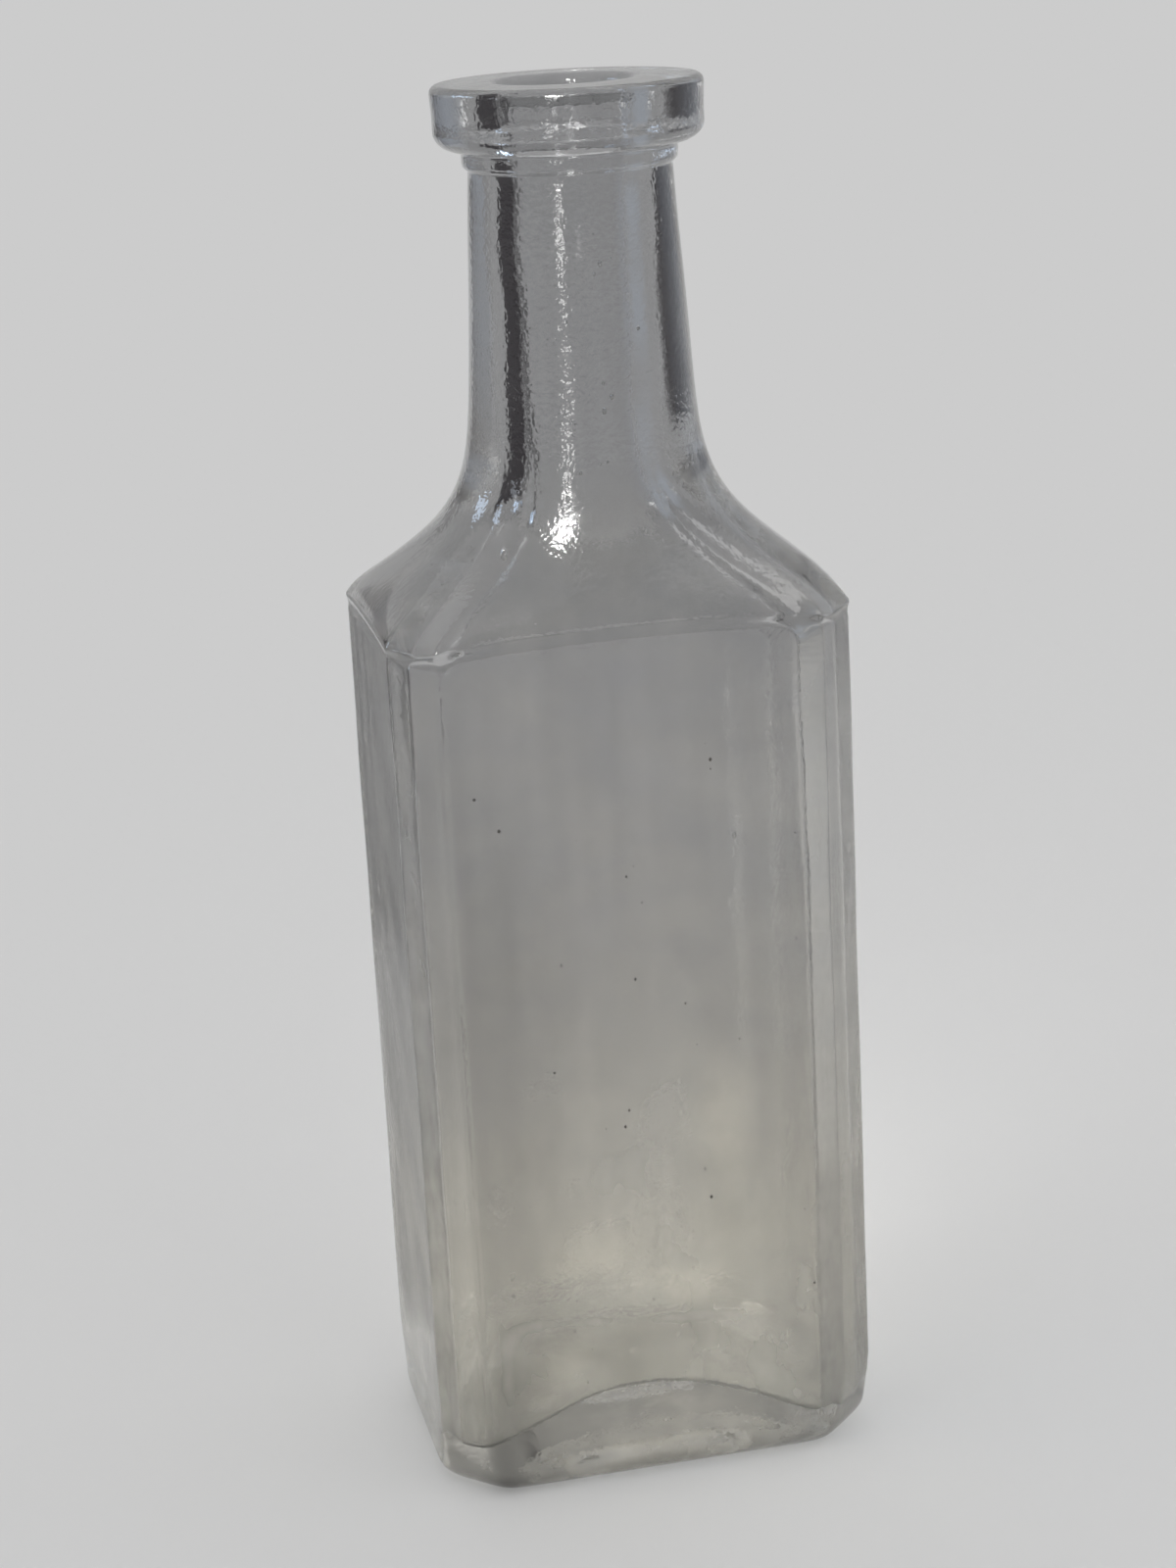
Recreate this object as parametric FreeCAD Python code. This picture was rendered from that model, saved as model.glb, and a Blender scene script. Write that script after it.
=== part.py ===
"""Antique medicine bottle, mould-blown in clear glass, as one hollow solid.

A plain four-sided body with bevelled upright corners, a hipped shoulder that flares into a round
tapering neck, a step ring under a heavy flat-topped lip, and a shallow hollow under the base.
The inside follows the outside at the glass's thickness, over a floor that rises in the middle.

Frame: millimetres, +Z up, origin at the bottom centre, wide front face towards -Y.
"""
import FreeCAD
import Part
import math
import os

# Body
TOTAL_HEIGHT = 152.0
BODY_WIDTH = 49.8            # along X
BODY_DEPTH = 35.2            # along Y
CORNER_BEVEL = 4.3           # leg of each 45 degree bevel
HEEL_RADIUS = 2.6
SHOULDER_HEIGHT = 96.4       # where the upright faces end, at the corners
SHOULDER_ARCH = 1.1          # how much higher they end in the middle of each face

# Shoulder: the body's outline fades into the neck's cone by exp(-(rise / reach) ** sharpness)
SHOULDER_REACH = 7.9
SHOULDER_SHARPNESS = 1.7
FLARE_LENGTH = 24.0          # rise over which the flare is drawn

# Neck and lip
NECK_ROOT_RADIUS = 13.4      # the neck's cone, carried down to the shoulder's plane
NECK_TOP_RADIUS = 10.8
STEP_RING_PROUD = 0.6        # how far the step ring stands out from the neck's top
STEP_RING_HEIGHT = 2.6
LIP_RADIUS = 14.25
LIP_BAND_HEIGHT = 4.8        # the upright band, top edge included
LIP_TAPER_HEIGHT = 2.2       # the rounded underside between step ring and band
LIP_EDGE_RADIUS = 0.9

# Glass thickness and the inside
SIDE_WALL = 2.9              # narrow sides
FACE_WALL = 3.0              # front and back
INNER_BEVEL = 3.4            # leg of the cavity's corner bevels
FLOOR_THICKNESS = 4.1        # in the corners
FLOOR_EDGE_RADIUS = 2.4
FLOOR_RISE = 7.2             # the floor's middle above its corners
FLOOR_CURVE_ACROSS = 30.0    # radius of the floor's dome along X
FLOOR_CURVE_DEEP = 120.0     # and along Y
SHOULDER_WALL = 2.6          # how far the cavity's shoulder lies below the outer one
BORE_RADIUS = 6.2
MOUTH_WIDENING = 0.7         # how much the bore's radius grows inside the lip
MOUTH_EDGE_RADIUS = 1.0

# Hollow under the base
SIDE_RIM_WIDTH = 8.8         # rim that the bottle rests on, heel included
FACE_RIM_WIDTH = 5.4
BASE_HOLLOW_DEPTH = 1.5

SECTIONS = 10                # outlines lofted along each flare
POINTS_PER_SIDE = 7          # points along each side of a flared outline

AXIS = FreeCAD.Vector(0, 0, 1)


def bevelled_corners(width, depth, bevel):
    """The eight corners of a rectangle with 45 degree bevels, anticlockwise from the +X side."""
    x = width / 2
    y = depth / 2
    first_corner = [(x, y - bevel), (x - bevel, y)]
    back = first_corner + [(-px, py) for px, py in reversed(first_corner)]
    return back + [(-px, -py) for px, py in back]


def outline_face(width, depth, bevel, z):
    return Part.Face(straight_section(bevelled_corners(width, depth, bevel), z))


def shoulder_share(along, rise):
    """How much of the body's outline is left at a rise, at a place along one side of it."""
    middle = 1 - abs(2 * along - 1) ** 2.5
    above_edge = max(rise - SHOULDER_ARCH * middle, 0)
    return math.exp(-((above_edge / SHOULDER_REACH) ** SHOULDER_SHARPNESS))


def flare_point(corner, following, along, circle_radius, share, z):
    """A point on one side of the body's outline, drawn in towards the neck's circle."""
    x = corner[0] + (following[0] - corner[0]) * along
    y = corner[1] + (following[1] - corner[1]) * along
    distance = math.hypot(x, y)
    radius = circle_radius + (distance - circle_radius) * share
    return FreeCAD.Vector(x * radius / distance, y * radius / distance, z)


def flare_section(corners, circle_radius, rise, z):
    """One outline of the flare between its first, which is straight-sided, and its last."""
    edges = []
    for number, (corner, following) in enumerate(zip(corners, corners[1:] + corners[:1])):
        on_bevel = number % 2 == 0
        side = []
        for i in range(POINTS_PER_SIDE):
            along = i / (POINTS_PER_SIDE - 1)
            share = shoulder_share(0 if on_bevel else along, rise)
            side.append(flare_point(corner, following, along, circle_radius, share, z))
        curve = Part.BSplineCurve()
        curve.interpolate(side)
        edges.append(curve.toShape())
    return Part.Wire(edges)


def straight_section(corners, z):
    points = [FreeCAD.Vector(x, y, z) for x, y in corners]
    return Part.makePolygon(points + points[:1])


def round_section(corners, radius, z):
    """The flare's last outline: a true circle, in one arc for each side of the body."""
    edges = []
    for corner, following in zip(corners, corners[1:] + corners[:1]):
        arc = [flare_point(corner, following, along, radius, 0, z) for along in (0, 0.5, 1)]
        edges.append(Part.Arc(*arc).toShape())
    return Part.Wire(edges)


def flared_shoulder(corners, base_z, length, root_radius, top_radius):
    """Solid that carries the bevelled outline at base_z into a circle, length higher up."""
    sections = [straight_section(corners, base_z)]
    for i in range(1, SECTIONS - 1):
        part_way = (i / (SECTIONS - 1)) ** 1.4
        circle_radius = root_radius + (top_radius - root_radius) * part_way
        rise = length * part_way
        sections.append(flare_section(corners, circle_radius, rise, base_z + rise))
    sections.append(round_section(corners, top_radius, base_z + length))
    return Part.makeLoft(sections, True, False)


def upright_body(width, depth, bevel, bottom_z, top_z, edge_radius):
    """Bevelled prism whose bottom edges are rounded."""
    prism = outline_face(width, depth, bevel, bottom_z).extrude(AXIS * (top_z - bottom_z))
    bottom_edges = [
        edge for edge in prism.Edges
        if all(abs(vertex.Z - bottom_z) < 1e-6 for vertex in edge.Vertexes)
    ]
    return prism.makeFillet(edge_radius, bottom_edges)


def revolved(profile):
    """Solid turned from a closed (radius, z) profile. A triple of points is an arc's three points."""
    edges = []
    for start, end, *middle in profile:
        first = FreeCAD.Vector(start[0], 0, start[1])
        last = FreeCAD.Vector(end[0], 0, end[1])
        if middle:
            bend = FreeCAD.Vector(middle[0][0], 0, middle[0][1])
            edges.append(Part.Arc(first, bend, last).toShape())
        else:
            edges.append(Part.LineSegment(first, last).toShape())
    return Part.Face(Part.Wire(edges)).revolve(FreeCAD.Vector(0, 0, 0), AXIS, 360)


def quarter_round(start, end, radial_first):
    """Profile entry for a quarter round between two points, bulging away from its centre."""
    corner = (end[0], start[1]) if radial_first else (start[0], end[1])
    centre = (start[0] + end[0] - corner[0], start[1] + end[1] - corner[1])
    bulge = 1 / math.sqrt(2)
    middle = tuple(c + (k - c) * bulge for c, k in zip(centre, corner))
    return start, end, middle


def neck_radius_at(z):
    """Outside radius of the neck's cone at a height."""
    ring_z = TOTAL_HEIGHT - LIP_BAND_HEIGHT - LIP_TAPER_HEIGHT - STEP_RING_HEIGHT
    taper = (z - SHOULDER_HEIGHT) / (ring_z - SHOULDER_HEIGHT)
    return NECK_ROOT_RADIUS + (NECK_TOP_RADIUS - NECK_ROOT_RADIUS) * taper


def neck_and_lip():
    """Cone of the neck, step ring and lip, turned in one piece from the flare's end upwards."""
    flare_z = SHOULDER_HEIGHT + FLARE_LENGTH
    band_z = TOTAL_HEIGHT - LIP_BAND_HEIGHT
    taper_z = band_z - LIP_TAPER_HEIGHT
    ring_z = taper_z - STEP_RING_HEIGHT
    edge_z = TOTAL_HEIGHT - LIP_EDGE_RADIUS
    ring_radius = NECK_TOP_RADIUS + STEP_RING_PROUD
    points = [
        (0, flare_z),
        (neck_radius_at(flare_z), flare_z),
        (NECK_TOP_RADIUS, ring_z),
        (ring_radius, ring_z),
        (ring_radius, taper_z),
    ]
    profile = list(zip(points, points[1:]))
    profile.append(quarter_round(points[-1], (LIP_RADIUS, band_z), radial_first=True))
    profile.append(((LIP_RADIUS, band_z), (LIP_RADIUS, edge_z)))
    lip_top = (LIP_RADIUS - LIP_EDGE_RADIUS, TOTAL_HEIGHT)
    profile.append(quarter_round((LIP_RADIUS, edge_z), lip_top, radial_first=False))
    profile.append((lip_top, (0, TOTAL_HEIGHT)))
    profile.append(((0, TOTAL_HEIGHT), (0, flare_z)))
    return revolved(profile)


def outer_form():
    corners = bevelled_corners(BODY_WIDTH, BODY_DEPTH, CORNER_BEVEL)
    body = upright_body(BODY_WIDTH, BODY_DEPTH, CORNER_BEVEL, 0, SHOULDER_HEIGHT, HEEL_RADIUS)
    flare_top_radius = neck_radius_at(SHOULDER_HEIGHT + FLARE_LENGTH)
    shoulder = flared_shoulder(
        corners, SHOULDER_HEIGHT, FLARE_LENGTH, NECK_ROOT_RADIUS, flare_top_radius)
    return body.fuse([shoulder, neck_and_lip()])


def floor_dome():
    """Barrel-shaped dome of the floor: the crest of a ring that stands upright along Y."""
    ring_radius = FLOOR_CURVE_DEEP - FLOOR_CURVE_ACROSS
    crest_z = FLOOR_THICKNESS + FLOOR_RISE
    centre = FreeCAD.Vector(0, 0, crest_z - FLOOR_CURVE_DEEP)
    return Part.makeTorus(ring_radius, FLOOR_CURVE_ACROSS, centre, FreeCAD.Vector(1, 0, 0))


def cavity_body():
    """The room inside the upright faces, over the domed floor."""
    width = BODY_WIDTH - 2 * SIDE_WALL
    depth = BODY_DEPTH - 2 * FACE_WALL
    top_z = SHOULDER_HEIGHT - SHOULDER_WALL
    room = upright_body(width, depth, INNER_BEVEL, FLOOR_THICKNESS, top_z, FLOOR_EDGE_RADIUS)
    return room.cut(floor_dome())


def cavity():
    """Everything inside the glass: body room, shoulder, bore and the mouth's rounded edge."""
    base_z = SHOULDER_HEIGHT - SHOULDER_WALL
    bore_z = base_z + FLARE_LENGTH
    corners = bevelled_corners(BODY_WIDTH - 2 * SIDE_WALL, BODY_DEPTH - 2 * FACE_WALL, INNER_BEVEL)
    shoulder = flared_shoulder(corners, base_z, FLARE_LENGTH, BORE_RADIUS, BORE_RADIUS)
    taper_z = TOTAL_HEIGHT - LIP_BAND_HEIGHT - LIP_TAPER_HEIGHT
    ring_z = taper_z - STEP_RING_HEIGHT
    edge_z = TOTAL_HEIGHT - MOUTH_EDGE_RADIUS
    mouth_radius = BORE_RADIUS + MOUTH_WIDENING
    outer_radius = mouth_radius + MOUTH_EDGE_RADIUS
    bend = 1 - 1 / math.sqrt(2)
    edge_bend = (mouth_radius + MOUTH_EDGE_RADIUS * bend, TOTAL_HEIGHT - MOUTH_EDGE_RADIUS * bend)
    bore = revolved([
        ((0, bore_z), (BORE_RADIUS, bore_z)),
        ((BORE_RADIUS, bore_z), (BORE_RADIUS, ring_z)),
        ((BORE_RADIUS, ring_z), (mouth_radius, taper_z)),
        ((mouth_radius, taper_z), (mouth_radius, edge_z)),
        ((mouth_radius, edge_z), (outer_radius, TOTAL_HEIGHT), edge_bend),
        ((outer_radius, TOTAL_HEIGHT), (0, TOTAL_HEIGHT)),
        ((0, TOTAL_HEIGHT), (0, bore_z)),
    ])
    return cavity_body().fuse([shoulder, bore])


def base_hollow():
    """Shallow hollow under the base, with sides that slope at 45 degrees."""
    width = BODY_WIDTH - 2 * SIDE_RIM_WIDTH
    depth = BODY_DEPTH - 2 * FACE_RIM_WIDTH
    slope = 2 * BASE_HOLLOW_DEPTH
    rim = outline_face(width, depth, CORNER_BEVEL, 0).OuterWire
    ceiling = outline_face(
        width - slope, depth - slope, CORNER_BEVEL, BASE_HOLLOW_DEPTH).OuterWire
    return Part.makeLoft([rim, ceiling], True, True)


def bottle():
    return outer_form().cut([cavity(), base_hollow()]).removeSplitter()


os.makedirs("parts", exist_ok=True)
bottle().exportStep("parts/bottle.step")
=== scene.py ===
"""Antique medicine bottle in clear, slightly hazed old glass, standing on a pale floor.

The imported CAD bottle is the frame. One smooth glass mesh stands for it, with the uneven inside,
rounded edges and soft shoulder of mould-blown glass, and small pieces hold its bubbles and specks.
Lengths are millimetres in the frame's axes until a mesh is made.
"""
import math

import bpy
import numpy as np
from mathutils import Matrix, Vector


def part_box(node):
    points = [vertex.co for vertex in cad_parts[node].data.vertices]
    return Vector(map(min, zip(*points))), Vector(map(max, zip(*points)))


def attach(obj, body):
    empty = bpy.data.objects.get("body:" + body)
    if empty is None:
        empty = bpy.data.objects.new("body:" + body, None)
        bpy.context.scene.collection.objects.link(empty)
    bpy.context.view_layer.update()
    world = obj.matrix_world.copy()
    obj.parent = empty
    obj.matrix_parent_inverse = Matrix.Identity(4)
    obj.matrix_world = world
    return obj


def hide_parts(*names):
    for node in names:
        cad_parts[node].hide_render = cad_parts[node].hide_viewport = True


MM = 0.001

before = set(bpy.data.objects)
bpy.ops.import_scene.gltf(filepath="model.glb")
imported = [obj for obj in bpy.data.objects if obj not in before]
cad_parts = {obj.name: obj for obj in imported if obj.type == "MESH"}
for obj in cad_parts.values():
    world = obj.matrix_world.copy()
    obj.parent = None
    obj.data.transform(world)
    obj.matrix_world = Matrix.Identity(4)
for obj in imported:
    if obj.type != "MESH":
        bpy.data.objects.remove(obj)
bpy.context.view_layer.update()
LOW, HIGH = (np.array(corner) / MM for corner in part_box("bottle"))
WIDTH, DEPTH, HEIGHT = HIGH - LOW

# Outside of the glass
CORNER_BEVEL = 4.3
CORNER_SOFTNESS = 1.1        # rounding of the body's upright edges
HEEL = 2.6
FOOT_HEIGHT = 9.0            # height over which the corners grow rounder towards the base
FOOT_BEVEL, FOOT_SOFTNESS = 2.0, 4.0    # what their bevel and rounding gain there
SHOULDER_SOFTNESS = 13.0     # rounding of the corners well above the shoulder's edge
SOFTENING_RISE = 6.0         # rise over which they grow that round
SHOULDER_Z = 96.4
SHOULDER_ARCH = 1.1          # how much the shoulder's edge rises in the middle of a face
ARCH_SHARPNESS = 2.5
EDGE_BEAD, BEAD_HALF_WIDTH = 0.16, 0.40       # small bead along the shoulder's edge
EDGE_GROOVE, GROOVE_HALF_WIDTH = 0.07, 0.45   # and the faint groove below it
GROOVE_DROP = 1.1
SHOULDER_REACH = 7.9
SHOULDER_SHARPNESS = 1.7
NECK_ROOT, NECK_TOP = 13.4, 10.8
RING_RADIUS, RING_HEIGHT = 11.4, 2.0
LIP_RADIUS = 14.25
LIP_BAND, LIP_TAPER, LIP_EDGE = 4.8, 2.0, 0.9
LIP_TAPER_Z = HEIGHT - LIP_BAND - LIP_TAPER
RING_Z = LIP_TAPER_Z - RING_HEIGHT

# Inside of the glass
SIDE_WALL, FACE_WALL = 2.9, 3.0
INNER_BEVEL_LEFT, INNER_BEVEL_RIGHT, INNER_BEVEL_LEAST = 2.3, 3.6, 1.0
INNER_SOFTNESS = 1.4         # rounding of the inner upright edges
SHOULDER_WALL = 2.6
BORE, MOUTH, MOUTH_EDGE = 5.9, 6.9, 1.0
BORE_OFFSET = -0.25          # the bore is a little off the middle, along X
FLOOR_CORNER, FLOOR_CREST = 4.1, 11.0
CREST_X = -1.0
FLOOR_CURVE_ACROSS, FLOOR_CURVE_DEEP = 27.0, 120.0
BACK_FLOOR, BACK_FLOOR_DROP = 9.2, 4.0        # height at the back, and what its sides fall
BACK_FLOOR_HALF_WIDTH, BACK_FLOOR_POWER = 20.5, 6
FLOOR_BLEND = 0.8            # rounding between the hump and the floor's corners
FLOOR_TILT = 0.045           # the floor is lower on the right
FLOOR_EDGE = 1.3

# Hollow under the base
SIDE_RIM, FACE_RIM, HOLLOW_DEPTH = 8.8, 5.4, 1.5
HOLLOW_SOFTNESS, HOLLOW_SLOPE = 3.0, 5.0      # rounding of its corners, width of its slope
HOLLOW_CROWN = 0.35          # how much deeper it is in the middle

COLUMNS = 240                # of the glass mesh, round the bottle

# Looks of the glass: how much paler and hazier its dirt makes it, and its fine relief
SMUDGE_PALENESS, SMUDGE_HAZE = 0.22, 0.14
FILM_HAZE, RESIDUE_HAZE = 0.34, 0.12
PEBBLE_HEIGHT = 0.05

WAVES = 14                   # sine waves summed into one field of unevenness
BEVEL_SHRINK = 2 - math.sqrt(2)   # what a bevel's leg loses where its outline is drawn in by 1
TINY = 1e-6                  # keeps clear of division by zero


# ---------------------------------------------------------------- shape helpers

def waves(x, y, z, length, seed):
    """Smooth unevenness about 0, mostly between -1 and 1, its humps roughly `length` apart."""
    rng = np.random.default_rng(seed)
    total = np.zeros_like(x + y + z)
    for _ in range(WAVES):
        direction = rng.normal(size=3)
        direction /= np.linalg.norm(direction)
        pace = 2 * math.pi / (length * rng.uniform(0.7, 1.8))
        phase = rng.uniform(0, 2 * math.pi)
        total += np.sin(pace * (direction[0] * x + direction[1] * y + direction[2] * z) + phase)
    return total / math.sqrt(WAVES)


def smoothstep(t):
    """0 up to 0 and 1 from 1 on, with a soft start and end between them."""
    t = np.clip(t, 0, 1)
    return t * t * (3 - 2 * t)


def column_angles():
    """Directions of the mesh's columns, closer together at the body's bevelled corners."""
    samples, extra, reach = 20001, 2.2, 0.035    # extra density at a corner, within reach of it
    corners = []
    for half_w, half_d, bevel in (
        (WIDTH / 2, DEPTH / 2, CORNER_BEVEL),
        (WIDTH / 2 - SIDE_WALL, DEPTH / 2 - FACE_WALL, INNER_BEVEL_RIGHT),
    ):
        for first in (math.atan2(half_d - bevel, half_w), math.atan2(half_d, half_w - bevel)):
            corners += [first, math.pi - first, math.pi + first, 2 * math.pi - first]
    fine = np.linspace(0, 2 * math.pi, samples)
    crowding = np.ones_like(fine)
    for corner in corners:
        crowding += extra * np.exp(-((fine - corner) / reach) ** 2)
    share = np.concatenate([[0], np.cumsum((crowding[1:] + crowding[:-1]) / 2)])
    return np.interp(np.arange(COLUMNS) / COLUMNS, share / share[-1], fine)


ANGLES = column_angles()
COS, SIN = np.cos(ANGLES), np.sin(ANGLES)


def bevelled(half_w, half_d, bevel, softness):
    """Distance from the axis to a bevelled rectangle, its corners rounded over about `softness`."""
    across, deep = np.abs(COS), np.abs(SIN)
    sides = np.stack([
        half_w / np.maximum(across, TINY),
        half_d / np.maximum(deep, TINY),
        (half_w + half_d - bevel) / (across + deep),
    ])
    sides = np.minimum(sides, 1000)
    nearest = sides.min(axis=0)
    pull = 0.12 * softness    # the share at which the rounding reaches about `softness`
    return nearest - pull * np.log(np.exp((nearest - sides) / pull).sum(axis=0))


def body_outline(z, inset=0.0):
    """The outside of the body at a height, drawn in by `inset`.

    Its corners are rounder near the base, and rounder still where the shoulder leaves them.
    """
    low = 1 - smoothstep(z / FOOT_HEIGHT)
    bevel = CORNER_BEVEL - BEVEL_SHRINK * inset + FOOT_BEVEL * low
    half_w, half_d = WIDTH / 2 - inset, DEPTH / 2 - inset
    crisp = bevelled(half_w, half_d, bevel, CORNER_SOFTNESS + FOOT_SOFTNESS * low)
    rounded = bevelled(half_w, half_d, bevel, SHOULDER_SOFTNESS)
    return crisp + (rounded - crisp) * smoothstep((z - SHOULDER_Z) / SOFTENING_RISE)


def room_outline(inset=0.0, softness=INNER_SOFTNESS):
    """The inside of the body, drawn in by `inset`. Its bevels change size between left and right."""
    rightness = smoothstep((COS + 0.3) / 0.6)
    bevel = INNER_BEVEL_LEFT + (INNER_BEVEL_RIGHT - INNER_BEVEL_LEFT) * rightness
    bevel = np.maximum(bevel - BEVEL_SHRINK * inset, INNER_BEVEL_LEAST)
    return bevelled(
        WIDTH / 2 - SIDE_WALL - inset, DEPTH / 2 - FACE_WALL - inset, bevel, softness)


def neck_radius(z):
    """Outer radius of the neck, which tapers straight from the shoulder's edge to the step ring."""
    taper = (z - SHOULDER_Z) / (RING_Z - SHOULDER_Z)
    return NECK_ROOT + (NECK_TOP - NECK_ROOT) * taper


def arch():
    """Rise of the shoulder's edge round the body: most in the middle of each face."""
    across, deep = np.abs(COS), np.abs(SIN)
    on_face = DEPTH / 2 / np.maximum(deep, TINY) < WIDTH / 2 / np.maximum(across, TINY)
    along = np.where(on_face, DEPTH * COS / np.maximum(deep, TINY) / WIDTH,
                     WIDTH * SIN / np.maximum(across, TINY) / DEPTH)
    return SHOULDER_ARCH * (1 - np.abs(along) ** ARCH_SHARPNESS)


def flared(outline, circle, rise):
    """Radius at `rise` above the shoulder's edge, where the outline fades into the circle."""
    share = np.exp(-(np.maximum(rise, 0) / SHOULDER_REACH) ** SHOULDER_SHARPNESS)
    return circle + (outline - circle) * share


def floor_height(x, y):
    """The floor inside: a hump across the front, flatter and squarer towards the back."""
    hump_fall = (x - CREST_X) ** 2 / (2 * FLOOR_CURVE_ACROSS)
    hump = FLOOR_CREST - hump_fall - y ** 2 / (2 * FLOOR_CURVE_DEEP)
    side_fall = np.abs(x / BACK_FLOOR_HALF_WIDTH) ** BACK_FLOOR_POWER
    plateau = BACK_FLOOR - BACK_FLOOR_DROP * side_fall
    towards_back = smoothstep((y + 6) / 20)
    dome = hump + (plateau - hump) * towards_back
    top = np.maximum(dome, FLOOR_CORNER)
    soft = np.exp((dome - top) / FLOOR_BLEND) + np.exp((FLOOR_CORNER - top) / FLOOR_BLEND)
    lowering = 0.25    # takes back part of what the rounding adds
    return top + FLOOR_BLEND * (np.log(soft) - lowering) - FLOOR_TILT * x


# ---------------------------------------------------------------- the glass
# Its mesh runs through rings of (radius of each column, height), from the middle of the base
# up the outside, in at the mouth and down the inside to the middle of the floor.

def turned(profile):
    """Round rings from points of (radius, height)."""
    return [(np.full(COLUMNS, radius), z) for radius, z in profile]


def base_rings():
    """The hollow under the base, from its middle out, and the flat rim round it."""
    rings = []
    hollow = bevelled(WIDTH / 2 - SIDE_RIM, DEPTH / 2 - FACE_RIM, CORNER_BEVEL, HOLLOW_SOFTNESS)
    for s in np.linspace(0.06, 1, 16):
        rings.append(((hollow - HOLLOW_SLOPE) * s, HOLLOW_DEPTH + HOLLOW_CROWN * (1 - s * s)))
    for t in np.linspace(0, 1, 11)[1:]:
        rings.append((hollow - HOLLOW_SLOPE * (1 - t), HOLLOW_DEPTH * (1 - smoothstep(t))))
    foot = body_outline(0, HEEL)
    for t in np.linspace(0, 1, 5)[1:-1]:
        rings.append((hollow + (foot - hollow) * t, 0.0))
    return rings


def body_rings():
    """The rounded heel and the upright faces."""
    rings = []
    for turn in np.linspace(0, math.pi / 2, 10):
        z = HEEL * (1 - math.cos(turn))
        rings.append((body_outline(z, HEEL * (1 - math.sin(turn))), z))
    for z in np.linspace(HEEL, SHOULDER_Z - 1.2, 46)[1:]:
        rings.append((body_outline(z), z))
    return rings


def shoulder_rings():
    """The shoulder and the neck up to the step ring, closest together at the shoulder's edge."""
    rings = []
    edge_lift = arch()
    edge_top, neck_end = SHOULDER_Z + 2.0, RING_Z - 0.15
    above_edge = [edge_top + (neck_end - edge_top) * t ** 1.2 for t in np.linspace(0, 1, 64)]
    for z in [*np.linspace(SHOULDER_Z - 1.0, edge_top, 21)[:-1], *above_edge]:
        rings.append((flared(body_outline(z), neck_radius(z), z - SHOULDER_Z - edge_lift), z))
    return rings


def lip_rings():
    """The step ring with its softened edges, and the lip's taper, band and rounded top edge."""
    rings = turned([
        (NECK_TOP + 0.05, RING_Z), (RING_RADIUS - 0.35, RING_Z + 0.12),
        (RING_RADIUS - 0.08, RING_Z + 0.4), (RING_RADIUS, RING_Z + 0.8),
        (RING_RADIUS + 0.02, RING_Z + 1.5), (RING_RADIUS, LIP_TAPER_Z - 0.35),
        (RING_RADIUS + 0.15, LIP_TAPER_Z - 0.05),
    ])
    for turn in np.linspace(0, math.pi / 2, 10):
        rings += turned([(RING_RADIUS + 0.2 + (LIP_RADIUS - RING_RADIUS - 0.2) * math.sin(turn),
                          LIP_TAPER_Z + LIP_TAPER * (1 - math.cos(turn)))])
    for z in np.linspace(HEIGHT - LIP_BAND, HEIGHT - LIP_EDGE, 9)[1:]:
        rings += turned([(LIP_RADIUS, z)])
    for turn in np.linspace(0, math.pi / 2, 8)[1:]:
        rings += turned([(LIP_RADIUS - LIP_EDGE * (1 - math.cos(turn)),
                          HEIGHT - LIP_EDGE * (1 - math.sin(turn)))])
    return rings


def outside_rings():
    """The outside from the middle of the base up to the lip's flat top."""
    return base_rings() + body_rings() + shoulder_rings() + lip_rings()


def mouth_rings():
    """The lip's flat top, inwards, and the mouth's rounded edge."""
    rings = []
    for radius in np.linspace(LIP_RADIUS - LIP_EDGE, MOUTH + MOUTH_EDGE, 8)[1:]:
        rings += turned([(radius, HEIGHT)])
    for turn in np.linspace(0, math.pi / 2, 8)[1:]:
        rings += turned([(MOUTH + MOUTH_EDGE * (1 - math.sin(turn)),
                          HEIGHT - MOUTH_EDGE * (1 - math.cos(turn)))])
    return rings


def inside_rings():
    """The inside from the bore down to the middle of the floor."""
    rings = []
    room, soft_room = room_outline(), room_outline(softness=SHOULDER_SOFTNESS)
    room_top = SHOULDER_Z - SHOULDER_WALL
    walls_top = room_top - 0.9
    edge_lift = arch()
    for t in np.linspace(0, 1, 84)[1:]:
        z = HEIGHT - MOUTH_EDGE + (walls_top - HEIGHT + MOUTH_EDGE) * (1 - (1 - t) ** 1.2)
        bore = BORE + (MOUTH - BORE) * smoothstep((z - RING_Z + 3) / 9)
        outline = room + (soft_room - room) * smoothstep((z - room_top) / 7)
        rings.append((flared(outline, bore, z - room_top - edge_lift), z))
    foot = floor_height(room * COS, room * SIN) + FLOOR_EDGE
    for t in np.linspace(0, 1, 50)[1:]:
        rings.append((room, walls_top + (foot - walls_top) * t))
    for turn in np.linspace(0, math.pi / 2, 9)[1:]:
        drawn_in = room_outline(FLOOR_EDGE * (1 - math.cos(turn)))
        height = floor_height(drawn_in * COS, drawn_in * SIN)
        rings.append((drawn_in, height + FLOOR_EDGE * (1 - math.sin(turn))))
    last = rings[-1][0]
    for s in np.linspace(1, 0.04, 26)[1:]:
        rings.append((last * s, floor_height(last * s * COS, last * s * SIN)))
    return rings


def ring_points(rings):
    """Points of all rings, as rings by columns by XYZ."""
    return np.array([
        np.stack([radius * COS, radius * SIN, np.broadcast_to(z, (COLUMNS,))], axis=1)
        for radius, z in rings
    ])


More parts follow.
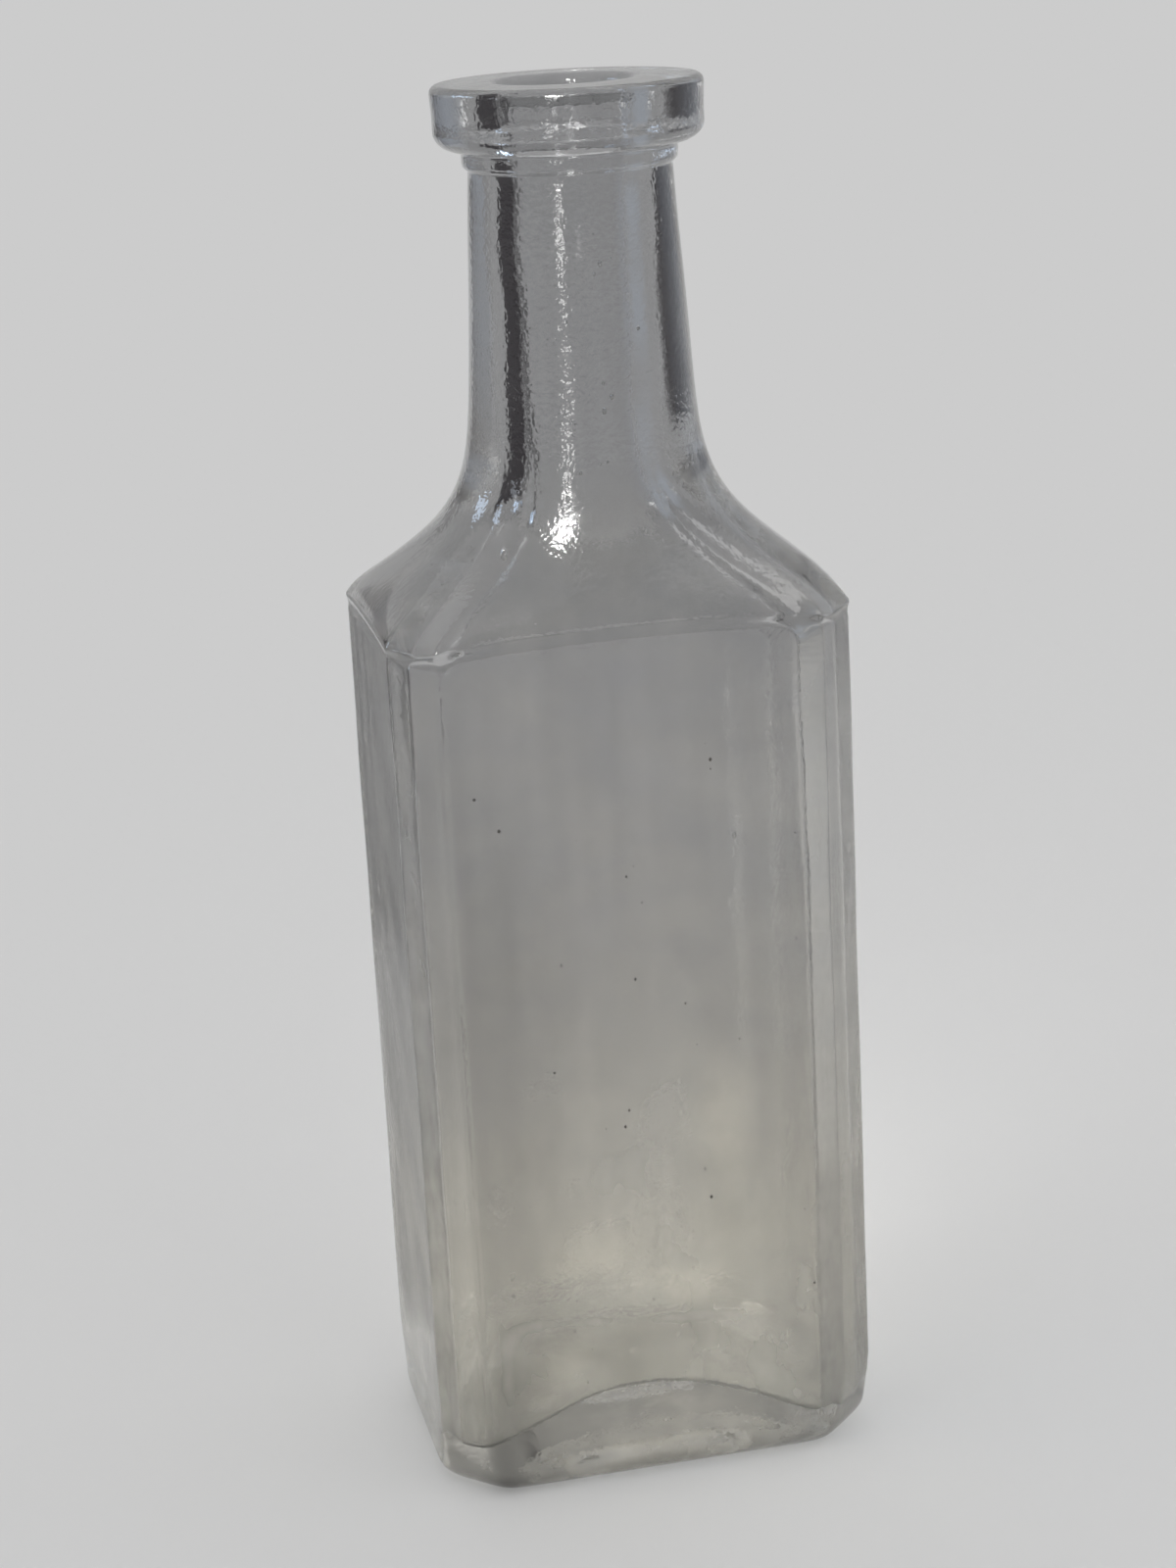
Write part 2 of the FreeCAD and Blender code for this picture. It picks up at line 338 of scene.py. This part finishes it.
def uneven_outside(points):
    """Adds slight waves, none of them on the rim that it rests on, and the shoulder's bead."""
    depth = 0.10
    x, y, z = points[..., 0], points[..., 1], points[..., 2]
    distance = np.maximum(np.hypot(x, y), TINY)
    wave = waves(x, y, z, 16, seed=11) * 0.5 - 0.9
    fade = smoothstep((z - 1) / 6) * smoothstep((HEIGHT - 0.5 - z) / 3)
    edge = z - SHOULDER_Z - arch()
    bead = EDGE_BEAD * np.exp(-(edge / BEAD_HALF_WIDTH) ** 2)
    bead -= EDGE_GROOVE * np.exp(-((edge + GROOVE_DROP) / GROOVE_HALF_WIDTH) ** 2)
    shift = (depth * wave + bead) * fade
    points[..., 0] += shift * x / distance
    points[..., 1] += shift * y / distance
    points[..., :2] = np.clip(points[..., :2], LOW[:2], HIGH[:2])


def uneven_inside(points):
    """Adds the waves of blown glass's free surface, and moves the bore a little off the middle."""
    body_broad, body_fine, neck_fine, floor_fine = 0.24, 0.07, 0.10, 0.25
    x, y, z = points[..., 0], points[..., 1], points[..., 2]
    distance = np.maximum(np.hypot(x, y), TINY)
    broad = waves(x, y, z * 0.5, 30, seed=5)
    fine = waves(x, y, z, 11, seed=8)
    in_body = smoothstep((112 - z) / 18)
    fade = smoothstep((HEIGHT - 2 - z) / 8)
    in_neck = 1 - in_body
    shift = fade * (in_body * (body_broad * broad + body_fine * fine) + in_neck * neck_fine * fine)
    points[..., 0] += shift * x / distance + in_neck * BORE_OFFSET
    points[..., 1] += shift * y / distance
    on_floor = smoothstep((FLOOR_CREST + 2 - z) / 4) * fade
    points[..., 2] += on_floor * floor_fine * fine


def glass_points():
    """Points of all rings, the uneven outside and then the uneven inside."""
    outer = ring_points(outside_rings())
    inner = ring_points(mouth_rings() + inside_rings())
    uneven_outside(outer)
    uneven_inside(inner)
    return np.concatenate([outer, inner])


def linked(name, vertices, faces):
    """A new piece in the scene, from points in metres and faces."""
    mesh = bpy.data.meshes.new(name)
    mesh.from_pydata(vertices, [], faces)
    piece = bpy.data.objects.new(name, mesh)
    bpy.context.scene.collection.objects.link(piece)
    return piece


def grid_piece(name, points):
    """Closed piece through rings of points, with a fan of triangles over each end."""
    count = len(points)
    vertices = points.reshape(-1, 3) * MM
    caps = np.array([points[0].mean(axis=0), points[-1].mean(axis=0)]) * MM
    vertices = np.concatenate([vertices, caps])
    faces = []
    for row in range(count - 1):
        here, above = row * COLUMNS, (row + 1) * COLUMNS
        for column in range(COLUMNS):
            following = (column + 1) % COLUMNS
            faces.append((here + column, here + following, above + following, above + column))
    start, end = count * COLUMNS, count * COLUMNS + 1
    last = (count - 1) * COLUMNS
    for column in range(COLUMNS):
        following = (column + 1) % COLUMNS
        faces.append((start, following, column))
        faces.append((end, last + column, last + following))
    piece = linked(name, vertices.tolist(), faces)
    piece.data.shade_smooth()
    return piece


# ---------------------------------------------------------------- bubbles and specks

def wall_point(x, z, depth, front=True):
    """A point inside the front or back wall, or the neck's, `depth` below its outer surface."""
    if z < SHOULDER_Z:
        y = DEPTH / 2 - depth
    else:
        y = math.sqrt(max((neck_radius(z) - depth) ** 2 - x ** 2, 0))
    return np.array([x, -y if front else y, z])


def bubble_places():
    """Centres and half-axes of the bubbles caught in the glass: one large, many small."""
    count, in_body, in_neck = 34, (16, 92), (112, 140)
    rng = np.random.default_rng(31)
    places = [((-11.6, -11.7, 105.2), (0.42, 0.3, 0.8))]
    for _ in range(count):
        z = rng.choice([rng.uniform(*in_body), rng.uniform(*in_neck)])
        x = rng.uniform(-17, 17) if z < SHOULDER_Z else rng.uniform(-4, 4)
        size = 0.10 + 0.16 * rng.random() ** 3
        centre = wall_point(x, z, rng.uniform(0.9, 1.9), front=rng.random() < 0.7)
        places.append((centre, (size, size * 0.8, size * rng.uniform(1.0, 1.9))))
    return places


def speck_places():
    """Centres and half-axes of the dark flecks just under the surface, most of them low down."""
    count, depth, half_thickness = 42, 0.16, 0.05
    rng = np.random.default_rng(47)
    places = []
    for _ in range(count):
        z = 12 + 76 * rng.random() ** 1.6
        size = 0.06 + 0.12 * rng.random() ** 2
        centre = wall_point(rng.uniform(-18, 18), z, depth, front=rng.random() < 0.75)
        places.append((centre, (size, half_thickness, size * rng.uniform(0.7, 1.5))))
    return places


def scattered(name, places, inside_out=False):
    """One piece of small ellipsoids, with their normals outwards unless `inside_out`."""
    rows, columns = 7, 12
    vertices, faces = [], []
    for centre, half_axes in places:
        first = len(vertices)
        for row in range(rows + 1):
            polar = math.pi * row / rows
            for column in range(columns):
                turn = 2 * math.pi * column / columns
                unit = np.array([math.sin(polar) * math.cos(turn),
                                 math.sin(polar) * math.sin(turn), math.cos(polar)])
                vertices.append((np.array(centre) + unit * half_axes) * MM)
        for row in range(rows):
            for column in range(columns):
                here = first + row * columns
                following = (column + 1) % columns
                face = (here + column, here + columns + column,
                        here + columns + following, here + following)
                faces.append(face[::-1] if inside_out else face)
    piece = linked(name, [tuple(vertex) for vertex in vertices], faces)
    piece.data.shade_smooth()
    return piece


# ---------------------------------------------------------------- materials

class Nodes:
    """Short ways to add nodes to one material's tree."""

    def __init__(self, tree):
        self.tree = tree

    def add(self, kind, **settings):
        node = self.tree.nodes.new(kind)
        for name, value in settings.items():
            setattr(node, name, value)
        return node

    def link(self, source, target):
        self.tree.links.new(source, target)

    def value(self, source, target):
        """Puts a number or another node's output into a socket."""
        if isinstance(source, bpy.types.NodeSocket):
            self.link(source, target)
        else:
            target.default_value = source

    def math(self, operation, *sources):
        node = self.add("ShaderNodeMath", operation=operation)
        for source, target in zip(sources, node.inputs):
            self.value(source, target)
        return node.outputs[0]

    def product(self, *factors):
        total = factors[0]
        for factor in factors[1:]:
            total = self.math("MULTIPLY", total, factor)
        return total

    def noise(self, place, scale, detail=3.0, roughness=0.55):
        node = self.add("ShaderNodeTexNoise")
        self.link(place, node.inputs["Vector"])
        node.inputs["Scale"].default_value = scale
        node.inputs["Detail"].default_value = detail
        node.inputs["Roughness"].default_value = roughness
        return node.outputs["Fac"]

    def stretched(self, place, stretch):
        """The place with each axis scaled, which draws a pattern out along an axis below 1."""
        node = self.add("ShaderNodeMapping")
        self.link(place, node.inputs["Vector"])
        node.inputs["Scale"].default_value = stretch
        return node.outputs["Vector"]

    def between(self, source, low, high, to_low=0.0, to_high=1.0):
        """Maps low..high to to_low..to_high with a soft start and end."""
        node = self.add("ShaderNodeMapRange", interpolation_type="SMOOTHSTEP")
        self.link(source, node.inputs["Value"])
        for name, number in (("From Min", low), ("From Max", high),
                             ("To Min", to_low), ("To Max", to_high)):
            node.inputs[name].default_value = number
        return node.outputs["Result"]

    def blot(self, place, middle, size):
        """One soft spot round a point, 1 in its middle and 0 beyond `size` from it."""
        away = self.add("ShaderNodeVectorMath", operation="SUBTRACT")
        self.link(place, away.inputs[0])
        away.inputs[1].default_value = middle
        shrunk = self.add("ShaderNodeVectorMath", operation="DIVIDE")
        self.link(away.outputs[0], shrunk.inputs[0])
        shrunk.inputs[1].default_value = size
        length = self.add("ShaderNodeVectorMath", operation="LENGTH")
        self.link(shrunk.outputs[0], length.inputs[0])
        return self.between(length.outputs["Value"], 1.0, 0.1)

    def ramp(self, source, stops):
        """A colour read off stops of (position, colour)."""
        node = self.add("ShaderNodeValToRGB")
        self.link(source, node.inputs["Fac"])
        elements = node.color_ramp.elements
        while len(elements) < len(stops):
            elements.new(0.5)
        for element, (position, colour) in zip(elements, stops):
            element.position = position
            element.color = (*colour, 1)
        return node.outputs["Color"]

    def mix(self, share, first, second):
        """A colour that goes from the first to the second as the share goes from 0 to 1."""
        node = self.add("ShaderNodeMix", data_type="RGBA")
        self.value(share, node.inputs["Factor"])
        for source, target in ((first, node.inputs["A"]), (second, node.inputs["B"])):
            if isinstance(source, tuple):
                target.default_value = (*source, 1)
            else:
                self.link(source, target)
        return node.outputs["Result"]


def principled(name):
    """A new material, its nodes and its Principled shader."""
    material = bpy.data.materials.new(name)
    material.use_nodes = True
    return material, Nodes(material.node_tree), material.node_tree.nodes["Principled BSDF"]


def place_in_mm(nodes):
    """The point on the object in millimetres, and its X, Y and Z alone."""
    place = nodes.add("ShaderNodeTexCoord").outputs["Object"]
    scaled = nodes.add("ShaderNodeVectorMath", operation="SCALE")
    nodes.link(place, scaled.inputs[0])
    scaled.inputs["Scale"].default_value = 1 / MM
    apart = nodes.add("ShaderNodeSeparateXYZ")
    nodes.link(scaled.outputs[0], apart.inputs[0])
    return scaled.outputs[0], *apart.outputs


def clear_glass(shader):
    shader.inputs["Transmission Weight"].default_value = 1.0
    shader.inputs["IOR"].default_value = 1.5


# Colour of the glass by share of its height: warm low down, palest at a fifth, grey above
TINTS = [
    (0.00, (0.33, 0.327, 0.307)),
    (0.05, (0.45, 0.438, 0.40)),
    (0.10, (0.52, 0.502, 0.455)),
    (0.18, (0.57, 0.548, 0.498)),
    (0.25, (0.475, 0.463, 0.434)),
    (0.32, (0.408, 0.402, 0.39)),
    (0.48, (0.395, 0.395, 0.395)),
    (0.62, (0.382, 0.384, 0.39)),
    (1.00, (0.37, 0.373, 0.38)),
]

# Pale stains on the front, and a pale band of painted light along the front foot: middle and
# half-size in millimetres, and how pale they are
STAIN_AND_FOOT_LIGHT_COLOUR = (0.77, 0.73, 0.64)
STAINS_AND_FOOT_LIGHT = [
    ((2, -18, 22.5), (9, 6, 4), 1.0),
    ((-8, -18, 27), (8, 6, 6), 0.5),
    ((8, -18, 41), (5, 6, 12), 0.5),
    ((-10, -18, 15), (7, 6, 4), 0.6),
    # These last two are painted light: the pale band along the front foot
    ((-1, -18, 8.4), (10, 6, 3.0), 1.0),
    ((-3, -18, 4.6), (9, 6, 1.5), 0.3),
]


def painted_shade_and_light(nodes, place, across, deep, height):
    """Painted shade and light on the glass's colour, as a factor of about 1: painted shade on the
    left and right of the front, along the front foot, at the left heel and at the right edge,
    painted light along the left edge, and faint random upright streaks.
    """
    # Painted shade on the left and right of the front, along the front foot and at the left heel;
    # painted light along the left edge
    left = nodes.product(nodes.between(across, -4, -15), nodes.between(across, -21.5, -18.5),
                         nodes.between(height, 88, 66))
    right = nodes.product(nodes.between(across, 11, 17), nodes.between(height, 60, 40))
    left_edge_painted_light = nodes.product(nodes.between(across, -19, -21.5), nodes.between(height, 85, 20))
    foot = nodes.product(nodes.between(deep, -13, -16), nodes.between(height, 3.4, 1.6))
    heel = nodes.product(nodes.between(across, -15, -18), nodes.between(height, 10, 6))
    # Faint random upright streaks in tone
    streaks = nodes.noise(nodes.stretched(place, (1, 1, 0.05)), 0.35)
    total = nodes.between(streaks, 0.3, 0.7, 0.955, 1.045)
    # Painted shade along the right edge
    right_edge_painted_shade = nodes.between(across, 17, 22)
    for share, amount in ((left, -0.20), (left_edge_painted_light, 0.16), (right, -0.10), (foot, -0.30),
                          (heel, -0.30), (right_edge_painted_shade, -0.08)):
        total = nodes.math("ADD", total, nodes.math("MULTIPLY", share, amount))
    return total


def outside_material():
    """Old glass from outside: smudged, stained, finely pebbled and warmer towards the base, with
    painted shade and light on its colour.
    """
    material, nodes, shader = principled("old_glass_outside")
    clear_glass(shader)
    place, across, deep, height = place_in_mm(nodes)
    tint = nodes.ramp(nodes.math("DIVIDE", height, HEIGHT), TINTS)
    grain = nodes.noise(nodes.stretched(place, (0.6, 1, 0.9)), 0.16, detail=4, roughness=0.62)
    smudge = nodes.math("MULTIPLY", nodes.between(grain, 0.30, 0.75),
                        nodes.between(height, 118, 96, 0.15, 1.0))
    paleness = nodes.math("MULTIPLY", smudge, SMUDGE_PALENESS)
    for middle, size, amount in STAINS_AND_FOOT_LIGHT:
        patch = nodes.blot(place, middle, size)
        broken = nodes.between(grain, 0.3, 0.6, 0, amount)
        paleness = nodes.math("ADD", paleness, nodes.math("MULTIPLY", patch, broken))
    tint = nodes.mix(paleness, tint, STAIN_AND_FOOT_LIGHT_COLOUR)
    # The tint scaled by painted shade and painted light
    tint_with_painted_shade = nodes.add("ShaderNodeVectorMath", operation="SCALE")
    nodes.link(tint, tint_with_painted_shade.inputs[0])
    nodes.link(painted_shade_and_light(nodes, place, across, deep, height), tint_with_painted_shade.inputs["Scale"])
    nodes.link(tint_with_painted_shade.outputs[0], shader.inputs["Base Color"])
    haze = nodes.math("MULTIPLY", smudge, SMUDGE_HAZE)
    nodes.link(nodes.math("SUBTRACT", 1.0, haze), shader.inputs["Transmission Weight"])
    shader.inputs["Roughness"].default_value = 0.03
    fainter_on_sides = nodes.between(nodes.math("ABSOLUTE", across), 17, 21, 1.0, 0.3)
    grains = nodes.noise(place, 1.7, detail=1, roughness=0.5)
    pebbles = nodes.math("MULTIPLY", grains, fainter_on_sides)
    bump = nodes.add("ShaderNodeBump")
    bump.inputs["Strength"].default_value = 1.0
    bump.inputs["Distance"].default_value = PEBBLE_HEIGHT * MM
    nodes.link(pebbles, bump.inputs["Height"])
    nodes.link(bump.outputs["Normal"], shader.inputs["Normal"])
    return material


def residue_line(nodes, across, deep, height):
    """A faint line of dried residue on the front wall, turning down at its left end."""
    level, slope, left_end, rounding = 18.2, 0.1, -17.4, 6.0
    sloping = nodes.math("ADD", height, nodes.math("MULTIPLY", across, slope))
    above = nodes.math("SUBTRACT", sloping, level)
    beside = nodes.math("SUBTRACT", left_end, across)
    away = nodes.math("ABSOLUTE", nodes.math("SMOOTH_MAX", above, beside, rounding))
    return nodes.product(nodes.between(away, 0.9, 0.1), nodes.between(deep, -8, -12),
                         nodes.between(across, 14, 6))


def inside_material():
    """The inside of the glass, veiled in patches by a dry, milky film that thickens low down."""
    material, nodes, shader = principled("old_glass_inside")
    clear_glass(shader)
    place, across, deep, height = place_in_mm(nodes)
    clouds = nodes.noise(nodes.stretched(place, (1, 1, 0.6)), 0.09, detail=4, roughness=0.6)
    low_down = nodes.between(height, 108, 20)
    film = nodes.math("MULTIPLY", nodes.between(clouds, 0.25, 0.75), low_down)
    nodes.link(nodes.mix(low_down, (0.93, 0.93, 0.935), (0.93, 0.92, 0.885)),
               shader.inputs["Base Color"])
    residue = residue_line(nodes, across, deep, height)
    veil = nodes.math("ADD", nodes.math("MULTIPLY", film, FILM_HAZE),
                      nodes.math("MULTIPLY", residue, RESIDUE_HAZE))
    nodes.link(nodes.math("SUBTRACT", 1.0, veil), shader.inputs["Transmission Weight"])
    nodes.link(nodes.between(low_down, 0.0, 1.0, 0.02, 0.12), shader.inputs["Roughness"])
    return material


def bubble_material():
    """Air inside the glass: the same surface as the glass, seen from its other side."""
    material, _, shader = principled("bubble_air")
    clear_glass(shader)
    shader.inputs["Roughness"].default_value = 0.0
    return material


def speck_material():
    """Dark, dull dirt."""
    material, nodes, shader = principled("dark_specks")
    place = place_in_mm(nodes)[0]
    colour = nodes.ramp(nodes.noise(place, 3.0, detail=2), [
        (0.3, (0.05, 0.045, 0.04)), (0.7, (0.16, 0.14, 0.12))])
    nodes.link(colour, shader.inputs["Base Color"])
    shader.inputs["Roughness"].default_value = 0.8
    return material


# ---------------------------------------------------------------- stage

def aim_camera():
    """The photo's view: from the front, a little to the left and from above, and slightly rolled."""
    azimuth, elevation, roll = (math.radians(a) for a in (12.1, 17.0, -3.0))
    distance, lens = 346.6, 72.26
    target = Vector((-1.55, 0, HEIGHT / 2 - 0.1))
    back = Vector((-math.sin(azimuth) * math.cos(elevation),
                   -math.cos(azimuth) * math.cos(elevation), math.sin(elevation)))
    level_right = (-back).cross(Vector((0, 0, 1))).normalized()
    level_up = level_right.cross(-back)
    right = math.cos(roll) * level_right + math.sin(roll) * level_up
    up = -math.sin(roll) * level_right + math.cos(roll) * level_up
    camera = bpy.data.objects.new("camera", bpy.data.cameras.new("camera"))
    camera.data.lens = lens
    camera.data.clip_start = 0.01
    camera.data.clip_end = 50
    turn = Matrix((right, up, back)).transposed().to_4x4()
    camera.matrix_world = Matrix.Translation((target + back * distance) * MM) @ turn
    bpy.context.scene.collection.objects.link(camera)
    bpy.context.scene.camera = camera


def floor():
    """Plain pale floor, in metres, just clear of the rim that the bottle rests on."""
    size, gap = 12.0, 0.05 * MM
    corners = [(-size, -size), (size, -size), (size, size), (-size, size)]
    piece = linked("floor", [(x, y, -gap) for x, y in corners], [(0, 1, 2, 3)])
    material, _, shader = principled("pale_floor")
    shader.inputs["Base Color"].default_value = (0.8, 0.8, 0.8, 1)
    shader.inputs["Roughness"].default_value = 1.0
    shader.inputs["Specular IOR Level"].default_value = 0.0
    piece.data.materials.append(material)


def glowing(name, colour, strength):
    """A glow that fades out where the mesh's attribute `fullness` does."""
    material = bpy.data.materials.new(name)
    material.use_nodes = True
    nodes = Nodes(material.node_tree)
    material.node_tree.nodes.clear()
    glow = nodes.add("ShaderNodeEmission")
    glow.inputs["Color"].default_value = (*colour, 1)
    glow.inputs["Strength"].default_value = strength
    mix = nodes.add("ShaderNodeMixShader")
    nodes.link(nodes.add("ShaderNodeAttribute", attribute_name="fullness").outputs["Fac"],
               mix.inputs["Fac"])
    nodes.link(nodes.add("ShaderNodeBsdfTransparent").outputs[0], mix.inputs[1])
    nodes.link(glow.outputs[0], mix.inputs[2])
    nodes.link(mix.outputs[0], nodes.add("ShaderNodeOutputMaterial").inputs["Surface"])
    return material


def studio_screen(name, bearings, heights, distance, colour, strength, fade=0.1):
    """Upright curved card round the bottle, seen only in the glass, its edges faded out.

    Bearing 0 is +Y and 90 is +X. `fade` is the share of its width and height that an edge takes.
    """
    count = 17
    steps = np.linspace(0, 1, count)
    edge = smoothstep(np.minimum(steps, 1 - steps) / fade)
    vertices, fullness = [], []
    for across, edge_across in zip(steps, edge):
        bearing = math.radians(bearings[0] + (bearings[1] - bearings[0]) * across)
        for up, edge_up in zip(steps, edge):
            height = heights[0] + (heights[1] - heights[0]) * up
            vertices.append((distance * math.sin(bearing) * MM,
                             distance * math.cos(bearing) * MM, height * MM))
            fullness.append(edge_across * edge_up)
    faces = [(row + i, row + count + i, row + count + i + 1, row + i + 1)
             for row in range(0, count * (count - 1), count) for i in range(count - 1)]
    piece = linked(name, vertices, faces)
    attribute = piece.data.attributes.new("fullness", "FLOAT", "POINT")
    attribute.data.foreach_set("value", fullness)
    piece.data.materials.append(glowing(name, colour, strength))
    piece.visible_camera = False
    piece.visible_diffuse = False
    piece.visible_shadow = False


def studio():
    """Soft light from all round, and the cards and windows that show in the glass."""
    world = bpy.data.worlds.new("studio")
    world.use_nodes = True
    bpy.context.scene.world = world
    background = world.node_tree.nodes["Background"]
    background.inputs["Color"].default_value = (1, 1, 1, 1)
    background.inputs["Strength"].default_value = 0.50
    glow = bpy.data.objects.new("overhead_glow", bpy.data.lights.new("overhead_glow", "SUN"))
    glow.data.energy = 0.80
    glow.data.angle = math.radians(100)
    bpy.context.scene.collection.objects.link(glow)
    pale, blue, white = (0.86, 0.92, 1.0), (0.62, 0.78, 1.0), (1.0, 1.0, 0.98)
    dark = (0.9, 0.65, 0.9)
    studio_screen("dark_screen_low", (-68, -20), (-2, 112), 300, dark, 0.03)
    studio_screen("dark_screen_high", (-68, -15), (100, 170), 300, dark, 0.03)
    studio_screen("side_screen_high", (-62, -43), (50, 97), 38, (1, 1, 1), 0.25)
    studio_screen("side_screen_low", (-62, -43), (-1, 58), 39, (1, 1, 1), 0.36)
    studio_screen("right_low_card", (66, 98), (-1, 74), 90, white, 0.95)
    studio_screen("back_low_card", (36, 56), (-1, 74), 90, white, 1.0)
    studio_screen("pale_screen", (42, 94), (0, 330), 300, pale, 0.80, fade=0.35)
    studio_screen("low_strip", (203, 211), (98, 165), 350, white, 12, fade=0.4)
    studio_screen("middle_strip", (204, 208), (160, 255), 350, white, 25, fade=0.3)
    studio_screen("high_strip", (194, 210), (235, 430), 350, white, 50, fade=0.35)
    studio_screen("high_halo", (186, 218), (185, 480), 360, white, 4, fade=0.45)
    studio_screen("left_window", (281, 302), (225, 325), 350, blue, 7)
    studio_screen("middle_window", (252, 261), (185, 260), 350, pale, 3.5)
    studio_screen("right_glint", (44, 48), (112, 142), 350, white, 3, fade=0.3)
    bpy.context.scene.view_settings.view_transform = "Standard"
    cycles = bpy.context.scene.cycles
    cycles.max_bounces = 22
    cycles.transmission_bounces = 22
    cycles.glossy_bounces = 18


# ---------------------------------------------------------------- assembly

glass = grid_piece("glass", glass_points())
glass.data.materials.append(outside_material())
glass.data.materials.append(inside_material())
# The lip's top and the mouth's edge look like the outside. The fans over the middles of the base
# and the floor come last in the mesh, so both look like the inside.
inside_start = len(outside_rings() + mouth_rings()) * COLUMNS
for face in glass.data.polygons:
    if face.index >= inside_start:
        face.material_index = 1
glass.visible_shadow = False
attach(glass, "root")
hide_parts("bottle")

bubbles = scattered("bubbles", bubble_places(), inside_out=True)
bubbles.data.materials.append(bubble_material())
specks = scattered("specks", speck_places())
specks.data.materials.append(speck_material())
for piece in (bubbles, specks):
    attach(piece, "root")

floor()
studio()
aim_camera()
